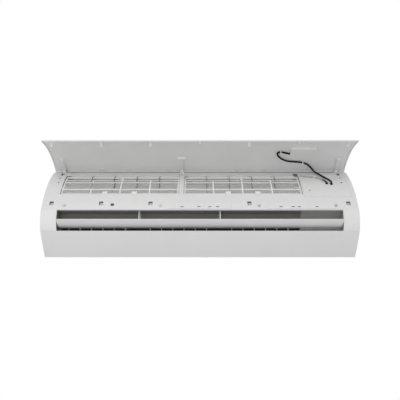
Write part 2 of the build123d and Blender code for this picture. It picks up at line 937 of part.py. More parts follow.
with BuildPart() as fan_motor:
    run(disc(fan, motor_radius), motor_start, motor_start + motor_length)
    fillet(fan_motor.edges().filter_by(GeomType.CIRCLE), 5)
    run(disc(fan, 11), motor_start - 5, motor_start + 1)
    run(disc(fan, motor_radius + 2), motor_start + motor_length / 2 - 2, motor_start + motor_length / 2 + 2)
    run(disc(fan, shaft_radius + run_gap), motor_start - 6, motor_start + 31, Mode.SUBTRACT)
save(fan_motor.part, "fan_motor")

with BuildPart() as motor_bracket:
    for x in (motor_start + 12, motor_start + motor_length - 20):
        run(
            section(
                (fan[0] - motor_radius - 7, fan[1] - 30),
                (fan[0] - motor_radius - 7, fan[1] + 22),
                (fan[0] - 20, fan[1] + motor_radius + 7),
                (fan[0] + 30, fan[1] + motor_radius + 7),
                (back - back_wall - 0.2, fan[1] + 16),
                (back - back_wall - 0.2, fan[1] - motor_radius - 8),
                (fan[0] - 30, fan[1] - motor_radius - 8),
            ),
            x,
            x + 8,
        )
        run(disc(fan, motor_radius + 0.2), x - 1, x + 9, Mode.SUBTRACT)
save(motor_bracket.part, "motor_bracket")

# ================= filters =================
filter_gap = 0.8
filter_radius = (front_radius - 8, front_radius - 5)
filter_low = foot + bay_low + filter_gap
filter_high = bay_high - filter_gap
filter_rows = (foot + 202, foot + 236.5)
filter_slot = (foot + 252, foot + 259)        # open, under the filter's top bar
filter_row = 4.5
filter_column = 4.5
filter_edge = 4.5

for name, limits in (
    ("filter_left", (bay_left, centre_bar[0])),
    ("filter_right", (centre_bar[1], bay_right)),
):
    x = (limits[0] + filter_gap, limits[1] - filter_gap)
    column = (x[1] - x[0]) / 4
    with BuildPart() as air_filter:
        run(ribbon(*filter_radius, filter_low, filter_high), *x)
        for n in range(4):
            for low, high in (
                (filter_low + filter_edge, filter_rows[0] - filter_row / 2),
                (filter_rows[0] + filter_row / 2, filter_rows[1] - filter_row / 2),
                (filter_rows[1] + filter_row / 2, filter_slot[0] - filter_row),
            ):
                block(
                    (x[0] + n * column + (filter_edge if n == 0 else filter_column / 2),
                     x[0] + (n + 1) * column - (filter_edge if n == 3 else filter_column / 2)),
                    (front - 5, brow[0] + 12),
                    (low, high),
                    Mode.SUBTRACT,
                )
        for n in (0, 2):
            block(
                (x[0] + n * column + filter_edge, x[0] + (n + 2) * column - filter_edge),
                (front - 5, brow[0] + 12),
                filter_slot,
                Mode.SUBTRACT,
            )
        for n in (1.5, 2.5):
            middle = x[0] + n * column
            run(
                ribbon(filter_radius[1] - 1, filter_radius[1] + 4, filter_low, filter_low + 11),
                middle - 8,
                middle + 8,
            )
    save(air_filter.part, name)

# ================= screws =================
with BuildPart() as frame_screws:
    for x in band_screws:
        seat = on_curve(front_radius, foot + band_screw_height)[0] + 1.2
        with Locations((x, seat, foot + band_screw_height)):
            Cylinder(screw_head, 2.4, rotation=(90, 0, 0), align=(Align.CENTER, Align.CENTER, Align.MIN))
            Cylinder(screw_shank, 10, rotation=(90, 0, 0), align=(Align.CENTER, Align.CENTER, Align.MAX))
save(frame_screws.part, "frame_screws")

# ================= room sensor, grommets =================

def hole_face(place):
    return on_curve(front_radius, foot + place[1])[0]


with BuildPart() as lead_grommet:
    for place, bore in ((lead_hole, lead_radius), (sensor_hole, sensor_lead_radius + 1.3)):
        with Locations((place[0], hole_face(place) + 4, foot + place[1])):
            Cylinder(grommet_radius - 0.2, 6, rotation=(90, 0, 0))
            Cylinder(bore + 0.2, 12, rotation=(90, 0, 0), mode=Mode.SUBTRACT)
save(lead_grommet.part, "lead_grommet")

# ================= front panel =================
inner = front_radius + panel_gap
outer = inner + panel_skin
tip_z = foot + panel_tip
crown_z = top - 1
rim = 2.5
flange = 7.7
hook_high = (foot + 136.5, foot + 139.5)
hook_width = 9
stop_high = (foot + 124, foot + 139.5)
stop_width = 6
nub_places = (-328, -240, -101, 124, 212)

with BuildPart() as front_panel:
    run(ribbon(inner, outer, tip_z, crown_z), -panel_half, panel_half)
    for x in (-panel_half, panel_half - wall):
        run(ribbon(inner - rim, inner + 1, tip_z, crown_z - 8), x, x + wall)
    run(ribbon(inner - 1, inner + 1, tip_z, tip_z + wall), -panel_half, panel_half)
    # flange along the rear edge, square to the skin
    root = on_curve(inner + 0.5, crown_z - 1.2)
    share = flange / hypot(centre[0] - root[0], centre[1] - root[1])
    turned = (root[0] + share * (centre[0] - root[0]), root[1] + share * (centre[1] - root[1]))
    run(strip(2, root, turned), -panel_half, panel_half)
    for step in latch_steps:
        limits = span(step * latch_pitch, hook_width)
        run(ribbon(inner - 13, inner + 1, *hook_high), *limits)
        run(ribbon(inner - 13, inner - 10.5, hook_high[0] - 2.5, hook_high[1]), *limits)
    for step in stop_steps:
        run(ribbon(inner - 6, inner + 1, *stop_high), *span(step * latch_pitch, stop_width))
    for x in nub_places:
        run(ribbon(inner - 3, inner + 1, crown_z - 12, crown_z - 4), x - 3, x + 3)
save(swung(front_panel.part), "front_panel")

arm_foot = (foot + 246, top - 9)
arm_lever = 10
arm_rib = 6

for name, x in zip(("panel_arm_left", "panel_arm_centre", "panel_arm_right"), arm_places):
    side = -1 if x > 300 else 1
    tip = on_curve(inner - 5.5, top - 14)
    with BuildPart() as arm:
        limits = span(x, arm_width)
        run(disc(hinge, 6), *limits)
        run(slab(hinge, tip, arm_lever), *limits)
        run(ribbon(inner - arm_rib, inner - 0.2, *arm_foot), *limits)
        run(ribbon(inner - 2, inner - 0.2, arm_foot[0] - 3, arm_foot[1]), x - arm_width, x + arm_width)
        if name == "panel_arm_centre":
            run(ribbon(inner - arm_rib, inner - 0.2, arm_foot[0] - 6, arm_foot[0]), x - 14, x + 14)
        pin = sorted((x, x + side * (arm_width / 2 + 2.5 + hub_length - 1)))
        run(disc(hinge, hinge_pin), *pin)
    save(swung(arm.part), name)

# ================= display case =================
case_x = (289, 369)
case_z = (foot + 181, foot + 204)
case_radius = (inner - 7.2, inner - 0.2)

with BuildPart() as display_case:
    run(ribbon(*case_radius, *case_z), *case_x)
    run(ribbon(case_radius[0] + 1.4, case_radius[1] + 1, case_z[0] + 1.6, case_z[1] - 1.6),
        case_x[0] + 1.6, case_x[1] - 1.6, Mode.SUBTRACT)
    for x in (case_x[0] - 7, case_x[1]):
        run(ribbon(case_radius[1] - 2, case_radius[1], case_z[0] + 7, case_z[1] - 6), x, x + 7)
save(swung(display_case.part), "display_case")

with BuildPart() as display_board:
    run(ribbon(case_radius[0] + 1.7, case_radius[0] + 2.9, case_z[0] + 2, case_z[1] - 2),
        case_x[0] + 2, case_x[1] - 2)
save(swung(display_board.part), "display_board")

# ================= display lead and its clips =================
open_centre = Vector(0, centre[0] - hinge[0], centre[1] - hinge[1]).rotate(Axis.X, -open_angle)
open_centre = (open_centre.Y + hinge[0], open_centre.Z + hinge[1])
lie = inner - lead_radius - 1.1


def on_panel(x, setback):
    """Middle of the lead where it lies on the raised panel, at a distance behind the front plane."""
    y = front + setback
    return (x, y, open_centre[1] + sqrt(lie**2 - (y - open_centre[0]) ** 2))


def before_frame(x, z, clear):
    """Middle of the lead in front of the frame, at a height above the underside."""
    return (x, on_curve(front_radius, foot + z)[0] - clear, foot + z)


lead_points = [
    on_panel(289, 17),
    on_panel(273, 10),
    on_panel(256, 2),
    on_panel(247, 12),
    on_panel(252, 30),
    on_panel(265, 48),
    on_panel(285, 61),
    on_panel(309, 64),
    on_panel(332, 66),
    on_panel(351, 75),
    on_panel(366, 90),
    before_frame(378, 296, 8),
    before_frame(390, 277, 7),
    before_frame(402, 255, 7),
    before_frame(413, 238, 11),
    (lead_hole[0], hole_face(lead_hole) - 13, foot + lead_hole[1]),
    (lead_hole[0], hole_face(lead_hole) + 9, foot + lead_hole[1]),
]


def largest_radii(points):
    """Bend radii of a lead: 0.45 of the shorter run beside each point."""
    radii = []
    for before, at, after in zip(points, points[1:], points[2:]):
        runs = (Vector(*at) - Vector(*before), Vector(*after) - Vector(*at))
        turn = radians(runs[0].get_angle(runs[1]))
        radii.append(0.45 * min(r.length for r in runs) / sin(turn / 2) * cos(turn / 2))
    return radii


def lead(points, radius):
    with BuildPart() as tube:
        with BuildLine() as route:
            FilletPolyline(*points, radius=largest_radii(points))
        with BuildSketch(Plane(origin=route.line @ 0, z_dir=route.line % 0)):
            Circle(radius)
        sweep()
    length = route.wire().length
    print("lead", round(length, 1), "bends", [round(r, 1) for r in largest_radii(points)])
    print("volume over section times length", round(tube.part.volume / (pi * radius**2 * length), 4))
    return tube.part, route.wire()


display_lead, lead_line = lead(lead_points, lead_radius)
save(display_lead, "display_lead")

with BuildPart() as lead_clips:
    for share in clip_shares:
        with BuildSketch(Plane(origin=lead_line @ share, z_dir=lead_line % share)):
            Circle(lead_radius + 0.95)
            Circle(lead_radius + 0.3, mode=Mode.SUBTRACT)
        extrude(amount=1.8, both=True)
save(lead_clips.part, "lead_clips")

# ================= room sensor =================
sensor_points = [
    before_frame(319.5, 274.4, 3.4),
    before_frame(326, 273, 3.4),
    before_frame(333, 268.5, 3.2),
    before_frame(350, 266, 3.2),
    before_frame(368, 262, 3.2),
    before_frame(384, 255, 3.2),
    before_frame(395, 246, 3.2),
    before_frame(402, 236, 3.8),
    (sensor_hole[0], hole_face(sensor_hole) - 4.6, foot + sensor_hole[1]),
    (sensor_hole[0], hole_face(sensor_hole) + 8, foot + sensor_hole[1]),
]
sensor_lead, sensor_line = lead(sensor_points, sensor_lead_radius)
save(sensor_lead, "sensor_lead")

with BuildPart() as room_sensor:
    aim = Vector(*sensor_points[0]) - Vector(*sensor_points[1])
    with BuildSketch(Plane(origin=sensor_points[0], z_dir=aim)):
        Circle(2.2)
    extrude(amount=14)
save(room_sensor.part, "room_sensor")
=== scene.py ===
# %% [markdown]
# # Wall-hung air conditioner with its front panel raised
#
# This is the indoor half of a split air conditioner. Its front panel is swung up, so the air
# filters, the control cover and the black lead of the display show. Below them the air outlet is
# open, with its long louver level and its small swinging vanes behind.
#
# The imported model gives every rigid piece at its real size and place. This lesson gives each piece
# its finish, and builds what is too fine or too soft for that model: the leads and their clips,
# the fins of the heat exchanger, and the nets, ribs and seals of the filters.
#
# Everything is in metres. X runs along the unit, -Y is its front and +Z is up. The wall is the
# plane Y = 0, and the casing reaches 150 mm above and below the origin.

from math import cos, pi, radians, sin

import bmesh
import bpy
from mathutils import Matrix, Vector


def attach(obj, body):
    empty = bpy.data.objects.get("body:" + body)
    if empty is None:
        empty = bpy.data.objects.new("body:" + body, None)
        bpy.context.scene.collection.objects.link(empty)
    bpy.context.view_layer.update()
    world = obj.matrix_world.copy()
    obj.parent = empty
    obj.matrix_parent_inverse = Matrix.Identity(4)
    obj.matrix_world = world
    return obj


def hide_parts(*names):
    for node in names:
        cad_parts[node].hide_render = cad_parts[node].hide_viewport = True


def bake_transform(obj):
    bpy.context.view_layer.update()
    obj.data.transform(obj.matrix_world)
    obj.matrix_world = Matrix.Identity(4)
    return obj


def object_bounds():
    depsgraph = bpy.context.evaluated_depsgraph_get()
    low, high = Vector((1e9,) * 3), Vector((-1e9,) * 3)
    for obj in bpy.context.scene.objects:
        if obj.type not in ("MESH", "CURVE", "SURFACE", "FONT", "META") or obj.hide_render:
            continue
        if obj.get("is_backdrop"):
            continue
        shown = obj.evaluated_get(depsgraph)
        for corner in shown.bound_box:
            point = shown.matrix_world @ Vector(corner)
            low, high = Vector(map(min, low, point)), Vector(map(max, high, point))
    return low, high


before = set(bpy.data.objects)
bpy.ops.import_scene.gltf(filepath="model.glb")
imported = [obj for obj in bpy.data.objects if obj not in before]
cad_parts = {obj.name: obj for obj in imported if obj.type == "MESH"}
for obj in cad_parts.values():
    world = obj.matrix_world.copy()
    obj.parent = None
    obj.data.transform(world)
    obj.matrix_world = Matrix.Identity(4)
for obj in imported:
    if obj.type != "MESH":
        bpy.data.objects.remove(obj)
cad_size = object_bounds()
scene = bpy.context.scene

MM = 0.001

print("size in mm:", [round((high - low) / MM) for low, high in zip(*cad_size)])

# %% [markdown]
# ## Camera
#
# The photograph looks up at the unit from below and in front, so the inside of the raised panel
# shows. A camera can follow a target with a constraint, or be turned by hand. Here its turn is
# given about one axis only, because the long edges of the unit are level in the picture. The lens
# is a moderate one: the ends of the casing narrow only a little towards the wall.

# %% The camera
CAMERA_PLACE = (0.0, -1.890, -0.781)
LOOK_UP = 25            # degrees above level
LENS = 54
FILM_WIDTH = 36         # millimetres, as the lens


def add_camera():
    data = bpy.data.cameras.new("camera")
    data.lens = LENS
    data.sensor_width = FILM_WIDTH
    camera = bpy.data.objects.new("camera", data)
    camera.location = CAMERA_PLACE
    camera.rotation_euler = (radians(90 + LOOK_UP), 0, 0)
    scene.collection.objects.link(camera)
    scene.camera = camera


add_camera()
print("camera at", CAMERA_PLACE, "looking up", LOOK_UP, "degrees, lens", LENS)

# %% [markdown]
# ## The front curve
#
# Seen from the end, the front of the casing is one arc about a centre behind the wall. The filters
# lie just inside it, and the panel is a slice of a ring just outside it. One helper gives the
# arc's Y at any height, so every thin piece added later follows the casing exactly and nothing is
# fitted by eye. The panel turns about a hinge near the top, and the centre of its ring swings up
# with it.

# %% The front curve and the panel's hinge
FOOT = -150 * MM                                # the underside
FRONT_RADIUS = 330 * MM
CENTRE = Vector((103.5 * MM, -100.18 * MM))     # Y and Z of the curve's centre
HINGE = Vector((-105 * MM, 134 * MM))           # Y and Z of the panel's hinge
OPEN_ANGLE = 59                                 # degrees


def on_curve(radius, z):
    """Y of the front curve at a height, for a circle of that radius."""
    return CENTRE.x - (radius**2 - (z - CENTRE.y) ** 2) ** 0.5


def open_centre():
    """Centre of the front curve once it has swung up with the panel."""
    arm = CENTRE - HINGE
    turn = radians(-OPEN_ANGLE)
    return HINGE + Vector(
        (arm.x * cos(turn) - arm.y * sin(turn), arm.x * sin(turn) + arm.y * cos(turn))
    )


RAISED = open_centre()
print("casing's depth at mid height:", round(-on_curve(FRONT_RADIUS, 0) / MM, 1), "mm")
print("centre of the raised panel's curve:", [round(v / MM, 1) for v in RAISED], "mm")

# %% [markdown]
# ## Leads: where they run
#
# Two leads show when the panel is up. A thick black one joins the display on the panel to the
# control box in the casing. It leaves the display, turns back in a loose loop under the panel,
# crosses the hinge line and drops through a hole in the control cover. A thin one runs from the
# room sensor, at the corner of the right filter, to a second hole beside the first.
#
# The points could be dragged about freehand, but then the leads would float off what they rest on.
# So each point says what it lies on: the inside of the panel, the front of the casing or the axis
# of a hole. A smooth curve needs only a few of them.

# %% Points that lie on the panel, on the casing and in a hole
LEAD_RADIUS = 2.8 * MM
LEAD_CLEAR = 1.1 * MM       # between the lead and the panel
PANEL_GAP = 8 * MM          # from the casing to the inside of the panel
PANEL_INNER = FRONT_RADIUS + PANEL_GAP
LIE = PANEL_INNER - LEAD_RADIUS - LEAD_CLEAR


def on_panel(x, y):
    """Point of the lead where it lies under the raised panel, from millimetres."""
    y = y * MM
    return (x * MM, y, RAISED.y + (LIE**2 - (y - RAISED.x) ** 2) ** 0.5)


def before_frame(x, height, clear):
    """Point in front of the frame, at a height above the underside, from millimetres."""
    z = FOOT + height * MM
    return (x * MM, on_curve(FRONT_RADIUS, z) - clear * MM, z)


def into_hole(hole, depth):
    """Point on the axis of a hole in the control cover."""
    z = FOOT + hole[1]
    return (hole[0], on_curve(FRONT_RADIUS, z) + depth, z)


# %% The route of the display's lead
LEAD_HOLE = (419 * MM, 224.5 * MM)      # along X, above the underside
LEAD_POINTS = [
    on_panel(289, -203),
    on_panel(273, -210),
    on_panel(256, -218),
    on_panel(247, -208),
    on_panel(252, -190),
    on_panel(265, -172),
    on_panel(285, -159),
    on_panel(309, -156),
    on_panel(332, -154),
    on_panel(351, -145),
    on_panel(366, -130),
    before_frame(378, 296, 8),
    before_frame(390, 277, 7),
    before_frame(402, 255, 7),
    before_frame(413, 238, 11),
    into_hole(LEAD_HOLE, -13 * MM),
    into_hole(LEAD_HOLE, 9 * MM),
]
print("display lead:", len(LEAD_POINTS), "points")

# %% The route of the room sensor's lead
SENSOR_HOLE = (405 * MM, 228 * MM)
SENSOR_POINTS = [
    before_frame(319.5, 274.4, 3.4),
    before_frame(326, 273, 3.4),
    before_frame(333, 268.5, 3.2),
    before_frame(350, 266, 3.2),
    before_frame(368, 262, 3.2),
    before_frame(384, 255, 3.2),
    before_frame(395, 246, 3.2),
    before_frame(402, 236, 3.8),
    into_hole(SENSOR_HOLE, -4.6 * MM),
    into_hole(SENSOR_HOLE, 8 * MM),
]
print("sensor lead:", len(SENSOR_POINTS), "points")

# %% [markdown]
# ## Leads: from points to round tubes
#
# A lead is a round tube that never kinks. It could be a chain of cylinders, or a mesh swept by
# hand. A NURBS curve is simpler: it passes smoothly between its points, and its bevel gives it a
# round section. The curve is then turned into a mesh, because only a mesh can bend between two
# moving bodies. The order of the curve is set after its points are added, or it stays straight
# between them.

# %% Curves, tubes and lengths
CURVE_STEPS = 6
CURVE_ORDER = 3
BEVEL_STEPS = 3


def link(mesh, name):
    piece = bpy.data.objects.new(name, mesh)
    scene.collection.objects.link(piece)
    return piece


def spline(name, points, bevel=0.0):
    """Smooth curve with these control points, and a round section if it has a bevel."""
    curve = bpy.data.curves.new(name, "CURVE")
    curve.dimensions = "3D"
    curve.resolution_u = CURVE_STEPS
    line = curve.splines.new("NURBS")
    line.points.add(len(points) - 1)
    for point, place in zip(line.points, points):
        point.co = (*place, 1)
    line.order_u = CURVE_ORDER
    line.use_endpoint_u = True
    curve.bevel_depth = bevel
    curve.bevel_resolution = BEVEL_STEPS
    curve.use_fill_caps = True
    return curve


def meshed(curve, name):
    """A curve as a mesh: a tube, or with no bevel its bare line."""
    holder = link(curve, name + "_line")
    bpy.context.view_layer.update()
    seen = holder.evaluated_get(bpy.context.evaluated_depsgraph_get())
    mesh = bpy.data.meshes.new_from_object(seen)
    bpy.data.objects.remove(holder)
    return mesh


def centreline(points):
    return [v.co.copy() for v in meshed(spline("path", points), "path").vertices]


def tube(name, points, radius):
    mesh = meshed(spline(name, points, radius), name)
    mesh.shade_smooth()
    path = centreline(points)
    length = sum((b - a).length for a, b in zip(path, path[1:]))
    print(name, "is", round(length / MM), "mm long and", round(2 * radius / MM, 1), "mm thick")
    return link(mesh, name)


# %% [markdown]
# ## The display's lead
#
# One end of this lead moves with the panel and the other stays with the casing, so it can't ride
# on either. Here it's one tube where it lies with the panel raised, its place baked into the mesh,
# and it isn't tied to either body. A real lead folds up in the narrow gap there, and this one can't
# fold.

lead = tube("lead_tube", LEAD_POINTS, LEAD_RADIUS)
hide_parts("display_lead")
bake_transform(lead)

# %% [markdown]
# ## Clips
#
# White nylon clips hold the lead to the panel, and each shows as a short pale band round it. A
# torus would be too round, and a cylinder would have no hole. So each clip is a collar of four
# rings of points: inner and outer, at both ends. It's placed by its share of the lead's length,
# and faces along the lead there. Both clips are one piece, and it rides the panel.

# %% Places along a lead
def at_share(path, share):
    """Place and direction at a share of a path's length."""
    runs = [(b - a).length for a, b in zip(path, path[1:])]
    left = share * sum(runs)
    for a, b, run in zip(path, path[1:], runs):
        if left <= run:
            return a.lerp(b, left / run), (b - a).normalized()
        left -= run
    return path[-1], (path[-1] - path[-2]).normalized()


# %% A collar round a line
COLLAR_SIDES = 24


def ring(bm, place, along, inner, outer, reach):
    """Short open collar round a line."""
    across = along.orthogonal().normalized()
    up = along.cross(across)
    loops = []
    for radius, shift in ((inner, -reach), (outer, -reach), (outer, reach), (inner, reach)):
        loop = []
        for n in range(COLLAR_SIDES):
            turn = 2 * pi * n / COLLAR_SIDES
            spoke = across * cos(turn) + up * sin(turn)
            loop.append(bm.verts.new(place + along * shift + spoke * radius))
        loops.append(loop)
    for near, far in zip(loops, loops[1:] + loops[:1]):
        for n in range(COLLAR_SIDES):
            m = (n + 1) % COLLAR_SIDES
            bm.faces.new((near[n], near[m], far[m], far[n]))


# %% Turn a mesh into a piece of the unit
def finished(bm, name, body, slot, *nodes):
    """Turn a mesh being built into a piece that rides a body in place of CAD pieces."""
    bmesh.ops.recalc_face_normals(bm, faces=bm.faces)
    mesh = bpy.data.meshes.new(name)
    bm.to_mesh(mesh)
    bm.free()
    piece = link(mesh, name)
    if nodes:
        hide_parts(*nodes)
    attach(piece, body)
    print(name, "rides", body, "with", len(mesh.polygons), "faces")
    return piece


# %% The clips of the display's lead
CLIP_HALF = 1.8 * MM        # half of a clip's length along the lead
CLIP_SKIN = 0.85 * MM
CLIP_CLEAR = 0.1 * MM
CLIP_SHARES = (0.1, 0.487)


def add_clips(name, body, points, radius, shares, *nodes):
    path = centreline(points)
    inner = radius + CLIP_CLEAR
    bm = bmesh.new()
    for share in shares:
        place, along = at_share(path, share)
        ring(bm, place, along, inner, inner + CLIP_SKIN, CLIP_HALF)
    return finished(bm, name, body, "clip_white", *nodes)


clips = add_clips("clips", "panel", LEAD_POINTS, LEAD_RADIUS, CLIP_SHARES, "lead_clips")

# %% [markdown]
# ## The room sensor's lead
#
# This one is thin and pale, and lies on the casing along its whole length, so it simply rides
# there. Where it enters its hole, the real lead wears a short black sleeve. The lead could be made
# thicker there, but it would be one piece in one colour. So the sleeve is a second tube round the
# same last points, a little thicker than the lead. Two more clips hold the lead.

# %% Thin lead and its sleeve
SENSOR_LEAD_RADIUS = 1.5 * MM
SLEEVE_SKIN = 0.4 * MM
SLEEVE_START = 6            # the point of the route where the sleeve begins

sensor_lead = tube("sensor_tube", SENSOR_POINTS, SENSOR_LEAD_RADIUS)
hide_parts("sensor_lead")
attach(sensor_lead, "casing")

sleeve = tube("sensor_sleeve", SENSOR_POINTS[SLEEVE_START:], SENSOR_LEAD_RADIUS + SLEEVE_SKIN)
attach(sleeve, "casing")

# %% The clips of the thin lead
SENSOR_CLIP_SHARES = (0.03, 0.47)

sensor_clips = add_clips(
    "sensor_clips", "casing", SENSOR_POINTS, SENSOR_LEAD_RADIUS, SENSOR_CLIP_SHARES
)

# %% [markdown]
# ## Fins of the heat exchanger
#
# Behind the filters stand two slabs of thin aluminium plates on copper tubes. Air passes between
# the plates, so through the nets they read as fine upright lines. Those lines could be a bump in a
# material, but a slab shows its flat face from the top grille. An Array modifier would repeat one
# plate. Plain mesh code does the same in one mesh, and lets the last plate end exactly at the
# slab's end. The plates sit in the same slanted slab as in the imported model.

# %% One plate of any outline
FIN_PITCH = 1.9 * MM
FIN_THICK = 0.25 * MM
COIL_THICK = 22 * MM
COIL_ENDS = (-430 * MM, 306 * MM)
FRONT_COIL = (Vector((-176, 8)) * MM, Vector((-106, 114)) * MM)     # low and high ends, Y and Z
REAR_COIL = (Vector((-46, 20)) * MM, Vector((-90, 100)) * MM)


def plate(bm, corners, x0, x1):
    """Flat plate with its outline in the YZ plane."""
    ends = [[bm.verts.new((x, *c)) for c in corners] for x in (x0, x1)]
    bm.faces.new(ends[0])
    bm.faces.new(ends[1])
    count = len(corners)
    for n in range(count):
        m = (n + 1) % count
        bm.faces.new((ends[0][n], ends[0][m], ends[1][m], ends[1][n]))


# %% Plates and tubes of a coil
TUBE_RADIUS = 3.5 * MM
TUBE_REACH = 7 * MM         # from the middle of a bend to each of its tubes
TUBE_BENDS = 4
TUBE_SIDES = 12
TUBE_MATERIAL = 1           # the coil's second material


def round_outline(middle, radius):
    turns = [2 * pi * k / TUBE_SIDES for k in range(TUBE_SIDES)]
    return [middle + Vector((cos(turn), sin(turn))) * radius for turn in turns]


def add_coil(name, node_name, low, high):
    bm = bmesh.new()
    along = (high - low).normalized()
    side = Vector((-along.y, along.x)) * COIL_THICK / 2
    corners = (low + side, low - side, high - side, high + side)
    count = int((COIL_ENDS[1] - COIL_ENDS[0] - FIN_THICK) / FIN_PITCH)
    pitch = (COIL_ENDS[1] - COIL_ENDS[0] - FIN_THICK) / count
    for n in range(count + 1):
        x = COIL_ENDS[0] + n * pitch
        plate(bm, corners, x, x + FIN_THICK)
    fins = len(bm.faces)
    for n in range(TUBE_BENDS):
        middle = low.lerp(high, (n + 0.5) / TUBE_BENDS)
        for sign in (-1, 1):
            outline = round_outline(middle + along * TUBE_REACH * sign, TUBE_RADIUS)
            plate(bm, outline, COIL_ENDS[0] + FIN_THICK, COIL_ENDS[1] - FIN_THICK)
    for face in list(bm.faces)[fins:]:
        face.material_index = TUBE_MATERIAL
    print(name, "has", count + 1, "fins on", 2 * TUBE_BENDS, "tubes")
    return finished(bm, name, "casing", "coil_fins", node_name)


front_fins = add_coil("front_fins", "front_coil", *FRONT_COIL)
rear_fins = add_coil("rear_fins", "rear_coil", *REAR_COIL)

# %% [markdown]
# ## Painted shadow: a dark bead behind the top corner
#
# Where the raised panel stands up from the casing, a thin line of shade shows along the whole unit,
# in a gap behind the top corner. The imported model has no gap there, and a stripe painted by a mask
# would fray on a corner this narrow. So the shade is painted shadow: a dark bead just behind the
# corner, four points carried along X by the helper that made the fins. It stops where the panel's
# arms pass through.

# %% The bead of painted shadow
BEAD_OUTLINE = ((-113.6, 298.3), (-112.4, 298.6), (-112.4, 299.5), (-113.6, 299.5))
BEAD_RUNS = ((-445, -67), (-53, 447))


def add_shadow_bead():
    corners = [(y * MM, FOOT + height * MM) for y, height in BEAD_OUTLINE]
    bm = bmesh.new()
    for start, end in BEAD_RUNS:
        plate(bm, corners, start * MM, end * MM)
    return finished(bm, "painted_shadow_bead", "casing", "rubber_black")


bead = add_shadow_bead()

# %% [markdown]
# ## Filter nets
#
# Each filter is a frame with a fine net moulded into it. Real threads are a third of a millimetre
# thick, so thousands of them as tubes would be slow, and too thin to see. A net is therefore one
# sheet, bent to the front curve inside its filter's frame, and its material leaves gaps between
# painted threads. The sheet rides with its filter, so it comes out with it.

# %% A sheet that follows the front curve
NET_STEPS = 12


def curved_sheet(bm, radius, heights, x0, x1, steps=NET_STEPS):
    """Rows of points that follow the front curve, joined into a sheet."""
    rows = []
    for n in range(steps + 1):
        z = heights[0] + (heights[1] - heights[0]) * n / steps
        y = on_curve(radius, z)
        rows.append([bm.verts.new((x, y, z)) for x in (x0, x1)])
    for below, above in zip(rows, rows[1:]):
        bm.faces.new((below[0], below[1], above[1], above[0]))
    return rows


# %% The nets
NET_RADIUS = 323.5 * MM
NET_HEIGHTS = (FOOT + 180 * MM, FOOT + 250 * MM)
NETS = (
    ("net_left", "left_filter", -435 * MM, -68 * MM),
    ("net_right", "right_filter", -49 * MM, 319 * MM),
)


def add_net(name, body, x0, x1):
    bm = bmesh.new()
    curved_sheet(bm, NET_RADIUS, NET_HEIGHTS, x0, x1)
    return finished(bm, name, body, "filter_plastic")


nets = [add_net(*net) for net in NETS]

# %% [markdown]
# ## Foam seals
#
# A strip of black foam closes the gap between the heat exchanger and the frame, above each net, so
# that air can't slip past the filter. A straight box would leave the front curve, or cut through
# it. So a bar is made of two curved sheets, one at its back and one at its face, closed at the
# ends and the sides. The strip stays behind when a filter is pulled, so it rides the casing.

# %% A bar that follows the front curve
BAR_STEPS = 8


def curved_bar(bm, radii, heights, x0, x1):
    """Closed bar that follows the front curve between two radii."""
    rear, face = (curved_sheet(bm, radius, heights, x0, x1, BAR_STEPS) for radius in radii)
    for n in (0, -1):
        bm.faces.new((face[n][0], face[n][1], rear[n][1], rear[n][0]))
    for side in (0, 1):
        for n in range(BAR_STEPS):
            bm.faces.new((face[n][side], face[n + 1][side], rear[n + 1][side], rear[n][side]))


# %% The seals
SEAL_RADII = (310 * MM, 313 * MM)
SEAL_HEIGHTS = (FOOT + 255 * MM, FOOT + 269 * MM)
SEALS = (("seal_left", -434 * MM, -68 * MM), ("seal_right", -49 * MM, 318 * MM))


def add_seal(name, x0, x1):
    """Soft foam strip between the heat exchanger and the frame, above the nets."""
    bm = bmesh.new()
    curved_bar(bm, SEAL_RADII, SEAL_HEIGHTS, x0, x1)
    return finished(bm, name, "casing", "rubber_black")


seals = [add_seal(*seal) for seal in SEALS]

# %% [markdown]
# ## Ribs of the filters
#
# Narrow ribs stiffen each filter, in an upper and a lower row. Their dark grey is painted shade for
# the shade they sit in, so they show as short upright strokes. They use the same curved bar as the
# seals. The camera is close, so the lower row, which is nearer to it, would seem to spread outwards.
# Its ribs stand two percent nearer to the middle.

# %% The ribs
RIB_RADII = (324.5 * MM, 326.3 * MM)
RIB_WIDTH = 1.8 * MM
RIB_ROWS = (                # two heights, and the row's share of each rib's place along X
    ((FOOT + 243 * MM, FOOT + 271 * MM), 1.0),
    ((FOOT + 206.5 * MM, FOOT + 232 * MM), 0.98),
)
RIBS = (
    ("ribs_left", "left_filter", (-351, -278, -205, -132)),
    ("ribs_right", "right_filter", (22, 95.5, 169, 242.5)),
)


def add_ribs(name, body, places):
    """Stiffening ribs on the face of a filter, dark with painted shade."""
    bm = bmesh.new()
    for x in places:
        for heights, share in RIB_ROWS:
            middle = x * share * MM
            curved_bar(bm, RIB_RADII, heights, middle - RIB_WIDTH / 2, middle + RIB_WIDTH / 2)
    return finished(bm, name, body, "filter_plastic")


ribs = [add_ribs(*rib) for rib in RIBS]

# %% [markdown]
# ## Tools for making materials
#
# Most of the unit is moulded plastic in a few shades, and the rest is drawn or rolled metal. Each
# of those surfaces could be built again in every material. A shader node group is made once
# instead, and each material sets its own tint and roughness on it. A group gives only what varies
# over a surface: a colour, a mask, a roughness or a normal. What is the same all over, such as
# the metallic value or the index of refraction, stays on the material's own shader.

# %% Small helpers for nodes
NOISE_LOW = 0.3             # noise seldom leaves this band
NOISE_HIGH = 0.7


def new_group(name, inputs, outputs):
    tree = bpy.data.node_groups.new(name, "ShaderNodeTree")
    for label, kind, value in inputs:
        socket = tree.interface.new_socket(label, in_out="INPUT", socket_type=kind)
        socket.default_value = value
    for label, kind in outputs:
        tree.interface.new_socket(label, in_out="OUTPUT", socket_type=kind)
    return tree, tree.nodes.new("NodeGroupInput"), tree.nodes.new("NodeGroupOutput")


def node(tree, kind, **settings):
    made = tree.nodes.new(kind)
    for key, value in settings.items():
        setattr(made, key, value)
    return made


